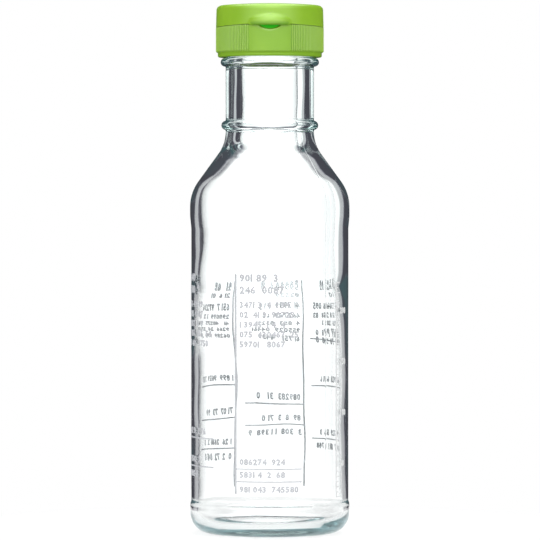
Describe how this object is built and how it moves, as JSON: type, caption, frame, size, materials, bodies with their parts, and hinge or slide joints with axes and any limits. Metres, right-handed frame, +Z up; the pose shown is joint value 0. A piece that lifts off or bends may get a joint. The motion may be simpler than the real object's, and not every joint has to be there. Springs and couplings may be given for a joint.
{
  "type": "salad dressing shaker bottle",
  "caption": "Tall clear glass shaker bottle with a beaded neck, a printed measuring scale and a ribbed screw closure with a hinged flip lid.",
  "frame": {"origin": "middle of the base, on the plane that the bottle stands on", "axes": "+Z runs up the bottle's axis, -Y faces the front with the lid's thumb lip and the first printed column, +X is to the right seen from the front"},
  "size_m": [0.0658, 0.0658, 0.2183],
  "materials": {
    "clear_glass": "clear, faintly blue green container glass, fire polished",
    "green_plastic": "satin moulded polypropylene, lime green",
    "white_plastic": "satin natural polyethylene",
    "gasket_foam": "dull foamed liner sheet",
    "fired_ink": "pale grey ceramic ink, fired on"
  },
  "bodies": {
    "bottle": {"glass_bottle": "clear_glass", "print_scale": "fired_ink", "print_column_1": "fired_ink", "print_column_2": "fired_ink", "print_column_3": "fired_ink", "print_column_4": "fired_ink", "print_column_5": "fired_ink"},
    "liner": {"rim_gasket": "gasket_foam"},
    "closure": {"closure_shell": "green_plastic", "pour_spout": "white_plastic", "hinge_web": "green_plastic", "snap_strap_left": "green_plastic", "snap_strap_right": "green_plastic"},
    "lid": {"flip_lid": "green_plastic", "lid_plug": "white_plastic"}
  },
  "joints": [
    {"name": "cap_lift", "type": "slide", "parent": "bottle", "child": "liner", "axis": [0, 0, 1], "range_m": [0, 0.0126]},
    {"name": "cap_turn", "type": "hinge", "parent": "liner", "child": "closure", "pos_m": [0, 0, 0.2], "axis": [0, 0, 1], "range_deg": [0, 1080]},
    {"name": "lid_flip", "type": "hinge", "parent": "closure", "child": "lid", "pos_m": [0, 0.02155, 0.20925], "axis": [-1, 0, 0], "range_deg": [0, 165], "deforming": ["hinge_web", "snap_strap_left", "snap_strap_right"]}
  ],
  "couplings": [
    {"joint": "cap_lift", "follows": "cap_turn", "m_per_rad": 0.00066845}
  ]
}
